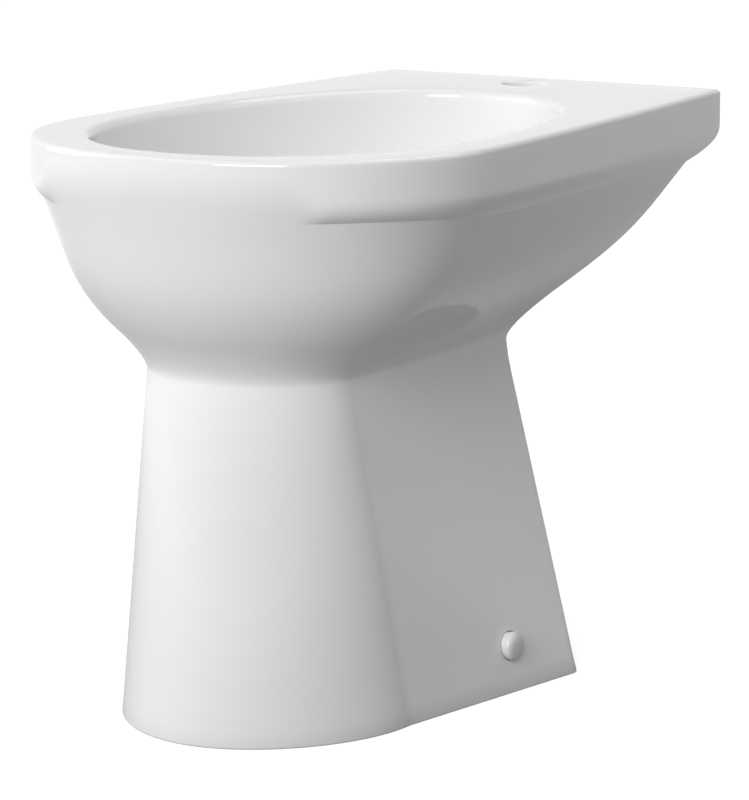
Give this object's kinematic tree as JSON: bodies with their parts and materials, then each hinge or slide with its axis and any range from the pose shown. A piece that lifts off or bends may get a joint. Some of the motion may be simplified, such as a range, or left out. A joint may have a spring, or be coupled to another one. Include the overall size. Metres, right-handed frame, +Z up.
{
  "type": "floor-standing bidet",
  "caption": "Floor-standing bidet in glazed ceramic with an egg-shaped basin, a tap hole in the rear deck, a flared hollow foot, a press-to-open waste and capped side fixings.",
  "frame": {"origin": "on the floor under the middle of the rim's width and of the rim's length", "axes": "+Z up, -Y towards the rounded front, +Y towards the tap deck and the wall, +X to the right of a person who faces the front from behind the deck"},
  "size_m": [0.335, 0.556, 0.4],
  "materials": {
    "glaze": "gloss",
    "chrome": "polished",
    "brass": "machined",
    "seal_rubber": "satin",
    "washer_plastic": "satin",
    "cartridge_plastic": "satin",
    "stem_steel": "turned",
    "spring_steel": "drawn wire",
    "cap_plastic": "gloss",
    "seat_plastic": "satin",
    "screw_steel": "zinc plated",
    "bracket_steel": "galvanised"
  },
  "bodies": {
    "bidet": {"ceramic_body": "glaze", "waste_body": "chrome", "flange_seal": "seal_rubber", "cone_seal": "seal_rubber", "slip_washer": "washer_plastic", "lock_nut": "brass", "cartridge_barrel": "cartridge_plastic", "cartridge_collar": "cartridge_plastic", "cartridge_spring": "spring_steel", "cap_seat_right": "seat_plastic", "cap_seat_left": "seat_plastic", "screw_washers": "screw_steel", "side_screws": "screw_steel", "bracket_nuts": "screw_steel", "floor_bracket_right": "bracket_steel", "floor_bracket_left": "bracket_steel"},
    "plug": {"plug_stem": "stem_steel", "plug_cap": "chrome", "plug_seal": "seal_rubber"},
    "cap_right": {"cover_cap_right": "cap_plastic"},
    "cap_left": {"cover_cap_left": "cap_plastic"}
  },
  "joints": [
    {"name": "plug_slide", "type": "slide", "parent": "bidet", "child": "plug", "axis": [0, 0, 1], "range_m": [0, 0.009], "deforming": ["cartridge_spring"]},
    {"name": "cap_right_pull", "type": "slide", "parent": "bidet", "child": "cap_right", "axis": [1, 0, 0], "range_m": [0, 0.02]},
    {"name": "cap_left_pull", "type": "slide", "parent": "bidet", "child": "cap_left", "axis": [-1, 0, 0], "range_m": [0, 0.02]}
  ]
}
